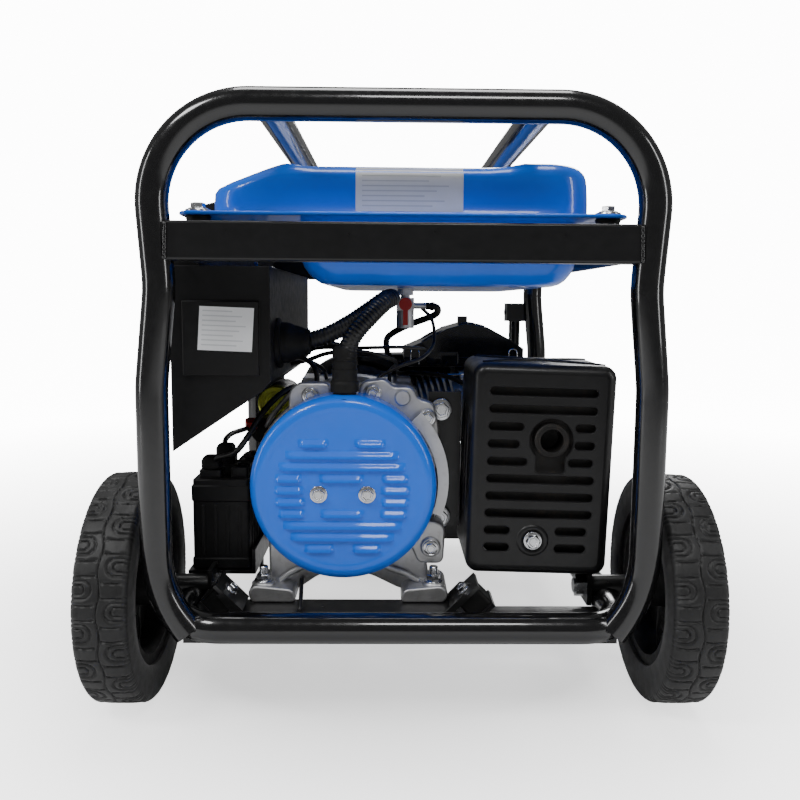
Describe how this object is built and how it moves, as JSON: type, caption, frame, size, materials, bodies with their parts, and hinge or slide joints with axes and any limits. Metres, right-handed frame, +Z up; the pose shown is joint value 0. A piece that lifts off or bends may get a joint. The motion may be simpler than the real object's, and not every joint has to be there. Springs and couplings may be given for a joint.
{
  "type": "portable generator",
  "caption": "Open-frame portable generator on two wheels: tube frame, fuel tank, engine, alternator, muffler, side panel and folding handles.",
  "frame": {"origin": "middle of the overall box, on the floor under the wheels and feet", "axes": "+Z up; +Y along the crankshaft from the alternator end towards the recoil starter; +X towards the muffler side"},
  "size_m": [0.656, 0.73, 0.65],
  "materials": {
    "tube_black": "gloss black powder coat",
    "frame_black": "satin black paint on sheet steel",
    "rubber": "matt black",
    "zinc_bolt": "bright zinc plate",
    "tyre": "moulded black tread",
    "wheel_plastic": "moulded black plastic",
    "tank_blue": "gloss azure blue paint",
    "moulded_black": "fine-grained black moulding",
    "gauge_plastic": "clear and white gauge window",
    "cast_aluminium": "die-cast, lightly blasted",
    "red_plastic": "red moulding",
    "lamination_steel": "oiled steel laminations",
    "cast_iron": "machined and cast",
    "yellow_zinc": "yellow passivated zinc",
    "conduit_plastic": "ribbed black plastic"
  },
  "bodies": {
    "frame": {"front_hoop": "tube_black", "rear_hoop": "tube_black", "base_loop": "tube_black", "top_rails": "tube_black", "tank_crossbars": "frame_black", "tank_side_rails": "frame_black", "bed_beams": "frame_black", "mount_brackets": "frame_black", "rubber_mounts": "rubber", "carrier_bars": "frame_black", "axle_sleeves": "frame_black", "axle_bolts": "zinc_bolt", "support_leg": "frame_black", "rubber_feet": "rubber", "handle_brackets": "frame_black", "tank_upper": "tank_blue", "tank_lower": "tank_blue", "tank_bolts": "zinc_bolt", "tank_grommets": "rubber", "fuel_gauge": "gauge_plastic", "fuel_valve": "cast_aluminium", "fuel_line": "rubber", "stator": "lamination_steel", "end_bracket": "cast_aluminium", "end_cover": "tank_blue", "cover_bolts": "zinc_bolt", "crankcase": "cast_aluminium", "cylinder_head": "cast_aluminium", "fan_shroud": "moulded_black", "recoil_cover": "moulded_black", "muffler_body": "frame_black", "muffler_guard": "frame_black", "muffler_bracket": "frame_black", "air_cleaner": "moulded_black", "carburettor": "cast_aluminium", "starter_motor": "yellow_zinc", "starter_relay": "moulded_black", "panel_box": "moulded_black", "panel_face": "moulded_black", "outlets": "moulded_black", "conduit": "conduit_plastic", "battery": "moulded_black", "wiring": "conduit_plastic"},
    "left_wheel": {"left_tyre": "tyre", "left_rim": "wheel_plastic"},
    "right_wheel": {"right_tyre": "tyre", "right_rim": "wheel_plastic"},
    "shaft": {"crankshaft": "lamination_steel", "flywheel": "cast_iron", "rotor": "lamination_steel"},
    "pull_grip": {"recoil_grip": "moulded_black"},
    "filler_cap": {"fuel_cap": "moulded_black"},
    "valve_lever": {"fuel_valve_lever": "red_plastic"},
    "choke": {"choke_lever": "moulded_black"},
    "folding_handle_left": {"left_handle": "tube_black", "left_grip": "rubber"},
    "folding_handle_right": {"right_handle": "tube_black", "right_grip": "rubber"},
    "rocker": {"breaker_switch": "red_plastic"},
    "key": {"key_switch": "zinc_bolt"}
  },
  "joints": [
    {"name": "left_wheel_spin", "type": "hinge", "parent": "frame", "child": "left_wheel", "pos_m": [-0.3, -0.238, 0.127], "axis": [1, 0, 0], "continuous": true},
    {"name": "right_wheel_spin", "type": "hinge", "parent": "frame", "child": "right_wheel", "pos_m": [0.3, -0.238, 0.127], "axis": [1, 0, 0], "continuous": true},
    {"name": "crank_spin", "type": "hinge", "parent": "frame", "child": "shaft", "pos_m": [-0.063, 0, 0.247], "axis": [0, 1, 0], "continuous": true},
    {"name": "starter_pull", "type": "slide", "parent": "frame", "child": "pull_grip", "axis": [-0.866, 0, 0.5], "range_m": [0, 0.5], "stiffness_N_per_m": 4, "springref_m": -0.5},
    {"name": "fuel_cap_turn", "type": "hinge", "parent": "frame", "child": "filler_cap", "pos_m": [0.04, 0.04, 0.6], "axis": [0, 0, 1], "range_deg": [0, 90]},
    {"name": "fuel_valve_turn", "type": "hinge", "parent": "frame", "child": "valve_lever", "pos_m": [0.006, -0.113, 0.444], "axis": [0, 1, 0], "range_deg": [0, 90]},
    {"name": "choke_turn", "type": "hinge", "parent": "frame", "child": "choke", "pos_m": [0.1224, 0.177, 0.338], "axis": [1, 0, 0], "range_deg": [0, 60]},
    {"name": "left_handle_fold", "type": "hinge", "parent": "frame", "child": "folding_handle_left", "pos_m": [-0.213, 0.352, 0.43], "axis": [1, 0, 0], "range_deg": [0, 90]},
    {"name": "right_handle_fold", "type": "hinge", "parent": "frame", "child": "folding_handle_right", "pos_m": [0.213, 0.352, 0.43], "axis": [1, 0, 0], "range_deg": [0, 90]},
    {"name": "engine_switch_rock", "type": "hinge", "parent": "frame", "child": "rocker", "pos_m": [-0.246, 0.001, 0.37], "axis": [0, 1, 0], "range_deg": [0, 20]},
    {"name": "key_turn", "type": "hinge", "parent": "frame", "child": "key", "pos_m": [-0.246, 0.07, 0.37], "axis": [-1, 0, 0], "range_deg": [0, 80]}
  ]
}
